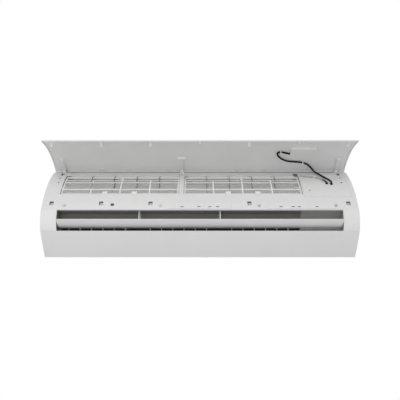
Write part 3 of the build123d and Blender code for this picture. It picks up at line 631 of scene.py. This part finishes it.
def place_on_object(tree):
    return node(tree, "ShaderNodeTexCoord").outputs["Object"]


def noise(tree, where, scale, detail):
    made = node(tree, "ShaderNodeTexNoise")
    made.inputs["Scale"].default_value = scale
    made.inputs["Detail"].default_value = detail
    tree.links.new(where, made.inputs["Vector"])
    return made.outputs["Fac"]


def spread(tree, value, low, high):
    """A 0 to 1 value spread between two limits."""
    made = node(tree, "ShaderNodeMapRange")
    tree.links.new(value, made.inputs["Value"])
    made.inputs["From Min"].default_value = NOISE_LOW
    made.inputs["From Max"].default_value = NOISE_HIGH
    for label, limit in (("To Min", low), ("To Max", high)):
        if isinstance(limit, float):
            made.inputs[label].default_value = limit
        else:
            tree.links.new(limit, made.inputs[label])
    return made.outputs["Result"]


def calc(tree, operation, a, b):
    """One sum on two values, each a number or another node's output."""
    made = node(tree, "ShaderNodeMath", operation=operation)
    for socket, value in zip(made.inputs, (a, b)):
        if isinstance(value, (int, float)):
            socket.default_value = value
        else:
            tree.links.new(value, socket)
    return made.outputs[0]


def relief(tree, height, depth, strength, edge):
    """Normal of a fine relief on a surface whose edges are softened by a small radius."""
    rounded = node(tree, "ShaderNodeBevel", samples=4)
    rounded.inputs["Radius"].default_value = edge
    bump = node(tree, "ShaderNodeBump")
    bump.inputs["Distance"].default_value = depth
    if isinstance(strength, float):
        bump.inputs["Strength"].default_value = strength
    else:
        tree.links.new(strength, bump.inputs["Strength"])
    tree.links.new(height, bump.inputs["Height"])
    tree.links.new(rounded.outputs["Normal"], bump.inputs["Normal"])
    return bump.outputs["Normal"]


# %% [markdown]
# ## Moulded plastic
#
# The casing is injection moulded. Up close it has a fine spark-eroded grain, its gloss changes a
# little from place to place, its shade drifts faintly where the plastic flowed, and no edge is
# perfectly sharp. Grain and rounded edges could be modelled, but they are far below a millimetre.
# So a bump gives the grain, a Bevel node softens the edges, and three sizes of noise do the rest.

# %% The group for moulded plastic
MOTTLE = (9, 4)             # scale and detail of the drift in shade
GLOSS = (60, 3)             # of the drift in roughness
GRAIN = (1800, 1)           # of the grain
GRAIN_DEPTH = 0.02 * MM
MOULDED_EDGE = 0.7 * MM
SURFACE_OUTPUTS = [
    ("Color", "NodeSocketColor"),
    ("Roughness", "NodeSocketFloat"),
    ("Normal", "NodeSocketVector"),
]


def moulded_group():
    """Fine spark-eroded grain of moulded plastic, with faint flow mottling and rounded edges."""
    tree, given, result = new_group(
        "moulded_surface",
        [
            ("Tint", "NodeSocketColor", (0.8, 0.8, 0.8, 1)),
            ("Mottle", "NodeSocketFloat", 0.03),
            ("Rough low", "NodeSocketFloat", 0.4),
            ("Rough high", "NodeSocketFloat", 0.5),
            ("Grain", "NodeSocketFloat", 0.1),
        ],
        SURFACE_OUTPUTS,
    )
    where = place_on_object(tree)
    shade = node(tree, "ShaderNodeHueSaturation")
    tree.links.new(given.outputs["Tint"], shade.inputs["Color"])
    darkest = calc(tree, "SUBTRACT", 1.0, given.outputs["Mottle"])
    tree.links.new(
        spread(tree, noise(tree, where, *MOTTLE), darkest, 1.0), shade.inputs["Value"]
    )
    limits = [given.outputs[label] for label in ("Rough low", "Rough high")]
    rough = spread(tree, noise(tree, where, *GLOSS), *limits)
    grain = noise(tree, where, *GRAIN)
    normal = relief(tree, grain, GRAIN_DEPTH, given.outputs["Grain"], MOULDED_EDGE)
    tree.links.new(shade.outputs["Color"], result.inputs["Color"])
    tree.links.new(rough, result.inputs["Roughness"])
    tree.links.new(normal, result.inputs["Normal"])
    return tree


MOULDED = moulded_group()
print(MOULDED.name, "has", len(MOULDED.nodes), "nodes")

# %% [markdown]
# ## Drawn and rolled metal
#
# Tubes, shafts and sheets are pulled or rolled, which leaves fine lines along them, and handling
# leaves duller, darker patches. The lines are thinner than a hair, so no mesh could hold them. They
# come from a stretched noise: squeezed across the metal, so it changes quickly there, and drawn
# out along it. The patches are a second, broad noise that mixes in the colour of the tarnish.

# %% The group for metal
TARNISH = (25, 5)           # scale and detail of the dull patches
MOST_TARNISH = 0.6
LINES = (1, 2)
LINE_ROUGHNESS = (0.28, 0.5)
LINE_DEPTH = 0.03 * MM
LINE_STRENGTH = 0.35
METAL_EDGE = 0.4 * MM
ALONG_X = (40, 900, 900)    # fine lines along the unit


def drawn_group():
    """Fine lines along X, as on drawn tube, rolled sheet and turned metal."""
    tree, given, result = new_group(
        "drawn_metal",
        [
            ("Tint", "NodeSocketColor", (0.7, 0.7, 0.7, 1)),
            ("Tarnish", "NodeSocketColor", (0.5, 0.5, 0.5, 1)),
            ("Stretch", "NodeSocketVector", ALONG_X),
        ],
        SURFACE_OUTPUTS,
    )
    where = place_on_object(tree)
    stretched = node(tree, "ShaderNodeVectorMath", operation="MULTIPLY")
    tree.links.new(where, stretched.inputs[0])
    tree.links.new(given.outputs["Stretch"], stretched.inputs[1])
    lines = noise(tree, stretched.outputs[0], *LINES)
    mix = node(tree, "ShaderNodeMix", data_type="RGBA")
    patches = spread(tree, noise(tree, where, *TARNISH), 0.0, MOST_TARNISH)
    tree.links.new(patches, mix.inputs["Factor"])
    tree.links.new(given.outputs["Tint"], mix.inputs["A"])
    tree.links.new(given.outputs["Tarnish"], mix.inputs["B"])
    normal = relief(tree, lines, LINE_DEPTH, LINE_STRENGTH, METAL_EDGE)
    tree.links.new(mix.outputs["Result"], result.inputs["Color"])
    tree.links.new(spread(tree, lines, *LINE_ROUGHNESS), result.inputs["Roughness"])
    tree.links.new(normal, result.inputs["Normal"])
    return tree


DRAWN = drawn_group()
print(DRAWN.name, "has", len(DRAWN.nodes), "nodes")


# %% Materials that use a group
def use_group(material, tree, settings, outputs):
    """Put a group in a material and link what it gives to the shader."""
    inner = material.node_tree
    shader = inner.nodes["Principled BSDF"]
    effect = node(inner, "ShaderNodeGroup")
    effect.node_tree = tree
    for label, value in settings.items():
        effect.inputs[label].default_value = value
    for label, socket in outputs.items():
        inner.links.new(effect.outputs[label], shader.inputs[socket])


def blank(name, **sockets):
    """Material whose shader has these constants."""
    material = bpy.data.materials.new(name)
    material.use_nodes = True
    shader = material.node_tree.nodes["Principled BSDF"]
    for label, value in sockets.items():
        shader.inputs[label.replace("_", " ")].default_value = value
    return material


SURFACE_LINKS = {"Color": "Base Color", "Roughness": "Roughness", "Normal": "Normal"}


def plastic(name, tint, rough=(0.42, 0.52), grain=0.25, mottle=0.03, shine=0.5):
    material = blank(name, IOR=1.5, Specular_IOR_Level=shine)
    settings = {"Tint": (*tint, 1), "Mottle": mottle, "Grain": grain}
    settings.update({"Rough low": rough[0], "Rough high": rough[1]})
    use_group(material, MOULDED, settings, SURFACE_LINKS)
    return material


def metal(name, tint, tarnish, stretch=ALONG_X):
    material = blank(name, Metallic=1.0)
    settings = {"Tint": (*tint, 1), "Tarnish": (*tarnish, 1), "Stretch": stretch}
    use_group(material, DRAWN, settings, SURFACE_LINKS)
    return material


# %% [markdown]
# ## Threads of the nets
#
# A net is threads with gaps. A picture of a net would need an image file, and it would blur up
# close. A few sums stay sharp: the mask below is 1 on a thread and 0 in a gap. It takes the place
# on the sheet, divides it by the thread pitch, and keeps the first part of each pitch, once along
# X and once upwards. It's linked to the material's Alpha, so the light and the camera pass through.

# %% The group for the threads
def axes_of(tree):
    axes = node(tree, "ShaderNodeSeparateXYZ")
    tree.links.new(place_on_object(tree), axes.inputs[0])
    return axes.outputs


def threads_group():
    """Mask of the crossed threads of a net."""
    tree, given, result = new_group(
        "net_threads",
        [("Pitch", "NodeSocketFloat", 1.2), ("Thread", "NodeSocketFloat", 0.35)],
        [("Mask", "NodeSocketFloat")],
    )
    axes = axes_of(tree)
    pitch = calc(tree, "MULTIPLY", given.outputs["Pitch"], MM)
    lines = []
    for axis in ("X", "Z"):
        share = calc(tree, "FRACT", calc(tree, "DIVIDE", axes[axis], pitch), 0.0)
        lines.append(calc(tree, "LESS_THAN", share, given.outputs["Thread"]))
    tree.links.new(calc(tree, "MAXIMUM", *lines), result.inputs["Mask"])
    return tree


THREADS = threads_group()
print(THREADS.name, "has", len(THREADS.nodes), "nodes")


# %% A material of threads
def netting(name, tint, pitch, thread):
    """Thread pitch in millimetres, and the share of it that the thread covers."""
    material = blank(name, Base_Color=(*tint, 1), Roughness=0.5, IOR=1.5)
    use_group(material, THREADS, {"Pitch": pitch, "Thread": thread}, {"Mask": "Alpha"})
    return material


# %% [markdown]
# ## Parts of one piece in another colour, and painted shade
#
# Two pieces of the imported model get a second colour. The duct is dark, but the posts that carry
# the louver are pale, and its blind end in front of the motor is a little paler than the rest. The
# front frame is white, but the guides behind the filters and the walls of the pockets for the
# panel's hooks get painted shade: little light gets there, so they are coloured dark. The pieces
# could be split, but that would need another model. A mask by place is enough: it compares the
# point being shaded with the known sizes of those parts.

# %% Posts and blind end of the duct
POST_PLACES = (-187 * MM, 62 * MM)
POST_HALF = 3 * MM
BLIND_START = 310.5 * MM
BLIND_SHARE = 0.25          # of the way to the posts' colour


def posts_group():
    """Mask of the louver's two posts, and a paler blind end in front of the motor."""
    tree, _, result = new_group("louver_posts", [], [("Mask", "NodeSocketFloat")])
    along = axes_of(tree)["X"]
    posts = []
    for place in POST_PLACES:
        near = calc(tree, "COMPARE", along, place)
        near.node.inputs[2].default_value = POST_HALF
        posts.append(near)
    blind = calc(tree, "GREATER_THAN", along, BLIND_START)
    blind = calc(tree, "MULTIPLY", blind, BLIND_SHARE)
    both = calc(tree, "MAXIMUM", calc(tree, "MAXIMUM", *posts), blind)
    tree.links.new(both, result.inputs["Mask"])
    return tree


POSTS = posts_group()
print(POSTS.name, "marks posts at", [round(place / MM) for place in POST_PLACES], "mm")

# %% Painted shade on the guides and pockets of the front frame
# each zone of painted shade has two radii from the curve's centre, two heights and a half length
GUIDE_SHADE_ZONE = ((0.0, 322.2 * MM), (FOOT + 171 * MM, FOOT + 276.5 * MM), 360 * MM)
POCKET_SHADE_ZONE = ((323.2 * MM, 329.6 * MM), (FOOT + 131.8 * MM, FOOT + 146.2 * MM), 464 * MM)


def between(tree, value, low, high):
    above = calc(tree, "GREATER_THAN", value, low)
    return calc(tree, "MULTIPLY", above, calc(tree, "LESS_THAN", value, high))


def frame_shade_group():
    """Mask of painted shade inside the front curve: on the filters' guides and on the pockets."""
    tree, _, result = new_group("painted_shade_guides_pockets", [], [("Mask", "NodeSocketFloat")])
    axes = axes_of(tree)
    level = node(tree, "ShaderNodeCombineXYZ")
    for axis in ("Y", "Z"):
        tree.links.new(axes[axis], level.inputs[axis])
    reach = node(tree, "ShaderNodeVectorMath", operation="DISTANCE")
    tree.links.new(level.outputs[0], reach.inputs[0])
    reach.inputs[1].default_value = (0, *CENTRE)
    off_middle = calc(tree, "ABSOLUTE", axes["X"], 0.0)
    zones = []
    for radii, heights, half in (GUIDE_SHADE_ZONE, POCKET_SHADE_ZONE):
        inside = between(tree, reach.outputs["Value"], *radii)
        tall = between(tree, axes["Z"], *heights)
        near = calc(tree, "LESS_THAN", off_middle, half)
        zones.append(calc(tree, "MULTIPLY", inside, calc(tree, "MULTIPLY", tall, near)))
    tree.links.new(calc(tree, "MAXIMUM", *zones), result.inputs["Mask"])
    return tree


FRAME_SHADE_MASK = frame_shade_group()
print(FRAME_SHADE_MASK.name, "has", len(FRAME_SHADE_MASK.nodes), "nodes")


# %% Two colours in one moulded material
def two_tone(material, mask_group, base, other):
    """Give the masked parts of a moulded material a second colour: the posts' own on the duct,
    painted shade on the frame.
    """
    inner = material.node_tree
    moulded = next(n for n in inner.nodes if n.type == "GROUP")
    mask = node(inner, "ShaderNodeGroup")
    mask.node_tree = mask_group
    mix = node(inner, "ShaderNodeMix", data_type="RGBA")
    inner.links.new(mask.outputs["Mask"], mix.inputs["Factor"])
    mix.inputs["A"].default_value = (*base, 1)
    mix.inputs["B"].default_value = (*other, 1)
    inner.links.new(mix.outputs["Result"], moulded.inputs["Tint"])


# %% [markdown]
# ## Materials of the casing and the outlet
#
# The casing is white, but a pure white clips in soft light and loses its edges. So its tint is a
# warm pale grey, with less shine than polished plastic. The duct is a warm dark grey that swallows
# light, which makes the outlet look deep, and the vanes in it are a duller white than the casing.
# The values were found by comparing plain areas of a render with the photograph.

# %% Casing, duct and vanes
CASING_TINT = (0.80, 0.80, 0.797)
CASING_SHINE = 0.35
PAINTED_SHADE_TINT = (0.05, 0.05, 0.048)
DUCT_TINT = (0.225, 0.218, 0.203)
POST_TINT = (0.74, 0.74, 0.73)

WHITE = plastic("casing_white", CASING_TINT, shine=CASING_SHINE)
FRAME_WHITE_AND_SHADE = plastic("frame_white_and_painted_shade", CASING_TINT, shine=CASING_SHINE)
# painted shade: the frame's guides and pockets are coloured dark where little light reaches them
two_tone(FRAME_WHITE_AND_SHADE, FRAME_SHADE_MASK, CASING_TINT, PAINTED_SHADE_TINT)
INSIDE = plastic("chassis_plastic", (0.66, 0.66, 0.64), rough=(0.5, 0.62))
DUCT = plastic("duct_grey", DUCT_TINT, rough=(0.5, 0.6))
two_tone(DUCT, POSTS, DUCT_TINT, POST_TINT)
VANE = plastic("vane_plastic", (0.60, 0.60, 0.575), rough=(0.5, 0.6))
FAN = plastic("fan_dark", (0.022, 0.022, 0.024), rough=(0.45, 0.6), grain=0.5)
print("casing tint", CASING_TINT, "and duct tint", DUCT_TINT)

# %% [markdown]
# ## Materials of the filters, leads and small parts
#
# The filters and their nets are whiter than the casing. Rubber is almost black with little shine,
# and foam is rougher still, so it stays black from any side. The circuit boards are a dark glossy
# green with a strong mottle, which stands for the copper under the lacquer. A new group for each
# would give little more, because these parts are small: the moulded one serves them all.

# %% Filters, leads and boards
NET_PITCH = 1.2             # millimetres
NET_THREAD = 0.30           # of the pitch

NET = netting("filter_net", (0.86, 0.86, 0.84), NET_PITCH, NET_THREAD)
FILTER = plastic("filter_plastic", (0.92, 0.92, 0.90), rough=(0.45, 0.55))
# painted shade: the ribs' dark grey stands for the shade they sit in
RIB_PAINTED_SHADE = plastic("rib_painted_shade", (0.16, 0.16, 0.155), rough=(0.5, 0.6))
# black foam for the seals, and the same black as painted shadow on the bead
FOAM_AND_SHADOW = plastic("foam_and_painted_shadow", (0.03, 0.03, 0.03), rough=(0.85, 0.95), grain=0.8)
NYLON = plastic("clip_white", (0.88, 0.88, 0.86), rough=(0.35, 0.45))
BLACK = plastic("rubber_black", (0.004, 0.004, 0.0045), rough=(0.5, 0.62), grain=0.4, shine=0.2)
SLEEVE = plastic("sleeve_grey", (0.42, 0.42, 0.41), rough=(0.4, 0.5))
BLOCK = plastic("block_black", (0.014, 0.014, 0.015), rough=(0.4, 0.5))
TRAY = plastic("box_plastic", (0.70, 0.70, 0.67))
BOARD = plastic("board_green", (0.02, 0.11, 0.045), rough=(0.22, 0.3), grain=0.3, mottle=0.2)
print("net of", round(NET_PITCH * NET_THREAD, 2), "mm threads every", NET_PITCH, "mm")

# %% [markdown]
# ## Materials of the metal parts
#
# Each metal is a clean tint and a tarnish. Zinc screws and the galvanised wall plate aren't drawn
# along the unit, so their lines are stretched another way. The bent tubes of the heat exchanger are
# duller than the pipes. The fins are aluminium with a pale coating, which looks more like plastic
# than like bare metal, so they use the plastic group.

# %% Steel, copper, brass and fins
ALL_WAYS = (300, 300, 300)
UPRIGHT_GRAIN = (220, 900, 220)

STEEL = metal("steel", (0.62, 0.62, 0.62), (0.45, 0.45, 0.45))
SCREW = metal("screw_zinc", (0.40, 0.40, 0.39), (0.24, 0.24, 0.23), ALL_WAYS)
CAN = metal("motor_steel", (0.58, 0.58, 0.59), (0.42, 0.42, 0.43))
SHEET = metal("plate_steel", (0.60, 0.61, 0.62), (0.46, 0.47, 0.48), UPRIGHT_GRAIN)
COPPER = metal("copper", (0.78, 0.42, 0.27), (0.45, 0.20, 0.11))
BEND = metal("bend_copper", (0.36, 0.27, 0.22), (0.22, 0.16, 0.13))
BRASS = metal("brass", (0.78, 0.58, 0.27), (0.48, 0.33, 0.14))
FINS = plastic("coil_fins", (0.86, 0.87, 0.83), rough=(0.35, 0.5), grain=0.1)
print(len(bpy.data.materials), "materials, those of the packed model among them")

# %% [markdown]
# ## Which piece gets which material
#
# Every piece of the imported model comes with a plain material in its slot. A table of names under
# each material is easier to read and to change than a line for each piece. The pieces made above
# aren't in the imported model, so they are painted one by one.

# %% Table of materials
FINISH = {
    FRAME_WHITE_AND_SHADE: ["front_frame"],
    WHITE: [
        "bottom_cover", "control_box_cover", "top_grille", "front_panel",
        "panel_arm_left", "panel_arm_centre", "panel_arm_right", "louver", "manual_button",
        "display_case",
    ],
    INSIDE: ["rear_chassis", "drain_pan", "motor_bracket"],
    DUCT: ["outlet_duct"],
    VANE: ["link_left", "link_middle", "link_right"] + [f"vane_{n:02d}" for n in range(1, 19)],
    NYLON: ["lead_clips"],
    FILTER: ["filter_left", "filter_right"],
    FAN: ["fan_wheel"],
    TRAY: ["control_box"],
    BLACK: ["fan_bearing", "lead_grommet", "room_sensor", "display_lead", "sensor_lead"],
    BLOCK: ["terminal_block"],
    BOARD: ["control_board", "display_board"],
    STEEL: ["fan_shaft"],
    SCREW: ["frame_screws"],
    CAN: ["fan_motor", "louver_motor"],
    SHEET: ["wall_plate"],
    BEND: ["coil_tubes"],
    COPPER: ["gas_pipe", "liquid_pipe"],
    BRASS: ["flare_unions"],
}


def paint(piece, *materials):
    piece.data.materials.clear()
    for material in materials:
        piece.data.materials.append(material)


for material, names in FINISH.items():
    for name in names:
        paint(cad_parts[name], material)
print(sum(len(names) for names in FINISH.values()), "pieces of the packed model painted")

# %% Paint the pieces made here
paint(lead, BLACK)
paint(sensor_lead, SLEEVE)
paint(sleeve, BLACK)
for piece in (clips, sensor_clips):
    paint(piece, NYLON)
for coil in (front_fins, rear_fins):
    paint(coil, FINS, BEND)
for net in nets:
    paint(net, NET)
# The seals are real black foam. The bead gets the same black as painted shadow.
for piece in (*seals, bead):
    paint(piece, FOAM_AND_SHADOW)
for rib in ribs:
    paint(rib, RIB_PAINTED_SHADE)
print("painted", len(nets), "nets,", len(ribs), "sets of ribs and", len(seals) + 1, "foam pieces")

# %% [markdown]
# ## Light and room
#
# The photograph has soft light from the front and an all-white background. A wide area light in
# front, above and to the left, is the key. A second one lights the underside from below, and a
# third keeps the back from going dark when the unit is turned. An even pale room fills the rest.
#
# A background could be made white by pouring light on it, but that light would also wash out the
# casing. Here the world is white only to rays that come from the camera or by way of a gloss or a
# see-through surface. All other light from the world is weaker.

# %% The room
ROOM_LEVEL = 0.52
PURE_WHITE = (1, 1, 1, 1)


def add_world():
    world = bpy.data.worlds.new("room")
    world.use_nodes = True
    scene.world = world
    tree = world.node_tree
    tree.nodes.clear()
    room = node(tree, "ShaderNodeBackground")
    room.inputs["Color"].default_value = PURE_WHITE
    room.inputs["Strength"].default_value = ROOM_LEVEL
    white = node(tree, "ShaderNodeBackground")
    white.inputs["Color"].default_value = PURE_WHITE
    rays = node(tree, "ShaderNodeLightPath").outputs
    seen = calc(tree, "MAXIMUM", rays["Is Camera Ray"], rays["Is Glossy Ray"])
    seen = calc(tree, "MAXIMUM", seen, rays["Is Transmission Ray"])
    mix = node(tree, "ShaderNodeMixShader")
    tree.links.new(seen, mix.inputs["Fac"])
    tree.links.new(room.outputs[0], mix.inputs[1])
    tree.links.new(white.outputs[0], mix.inputs[2])
    result = node(tree, "ShaderNodeOutputWorld")
    tree.links.new(mix.outputs[0], result.inputs["Surface"])


add_world()
print("room lights the unit at", ROOM_LEVEL)

# %% The lights
LIGHTS = (                  # name, place, watts and width
    ("key", (-0.4, -3.0, 0.7), 26, 2.2),
    ("low_fill", (-0.5, -2.3, -1.45), 14.5, 1.8),
    ("rear_fill", (-0.8, 2.6, 1.0), 14, 2.0),
)
LIGHT_AIM = Vector((0, -0.1, 0))


def add_light(name, place, power, size):
    data = bpy.data.lights.new(name, "AREA")
    data.energy = power
    data.size = size
    light = bpy.data.objects.new(name, data)
    light.location = place
    light.visible_camera = False
    aim = LIGHT_AIM - Vector(place)
    light.rotation_euler = aim.to_track_quat("-Z", "Y").to_euler()
    scene.collection.objects.link(light)
    print(name, "light:", power, "W,", size, "m wide")


for light in LIGHTS:
    add_light(*light)

# %% [markdown]
# ## Floor
#
# The unit hangs on a wall, so the floor lies far below it and only catches a faint shadow. A plain
# matt floor would look grey beside the white background. It's lifted towards white for the camera
# alone, by mixing in some glow where Light Path says that the camera looks. The shadow stays, and
# the unit gets no extra light from it.

# %% The floor
FLOOR_LEVEL = -2.4
FLOOR_HALF = 40
FLOOR_LIFT = 0.7


def floor_material():
    """Matt pale floor. The camera sees it lifted towards white, with its shadow kept."""
    material = blank("floor", Base_Color=(0.86, 0.86, 0.86, 1), Roughness=0.9)
    tree = material.node_tree
    glow = node(tree, "ShaderNodeEmission")
    glow.inputs["Strength"].default_value = 1.0
    rays = node(tree, "ShaderNodeLightPath")
    mix = node(tree, "ShaderNodeMixShader")
    lift = calc(tree, "MULTIPLY", rays.outputs["Is Camera Ray"], FLOOR_LIFT)
    tree.links.new(lift, mix.inputs["Fac"])
    tree.links.new(tree.nodes["Principled BSDF"].outputs[0], mix.inputs[1])
    tree.links.new(glow.outputs[0], mix.inputs[2])
    tree.links.new(mix.outputs[0], tree.nodes["Material Output"].inputs["Surface"])
    return material


def add_floor():
    bm = bmesh.new()
    bmesh.ops.create_grid(bm, x_segments=1, y_segments=1, size=FLOOR_HALF)
    mesh = bpy.data.meshes.new("floor")
    bm.to_mesh(mesh)
    bm.free()
    floor = link(mesh, "floor")
    floor.location.z = FLOOR_LEVEL
    mesh.materials.append(floor_material())
    floor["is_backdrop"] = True


add_floor()
print("floor", -FLOOR_LEVEL, "m below the middle of the unit")
scene.view_settings.view_transform = "Standard"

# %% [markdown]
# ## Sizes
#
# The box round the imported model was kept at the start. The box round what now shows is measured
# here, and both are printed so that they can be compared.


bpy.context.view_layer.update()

for label, box in (("packed model", cad_size), ("what shows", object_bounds())):
    print(label, "in mm:", [[round(n / MM, 1) for n in corner] for corner in box])
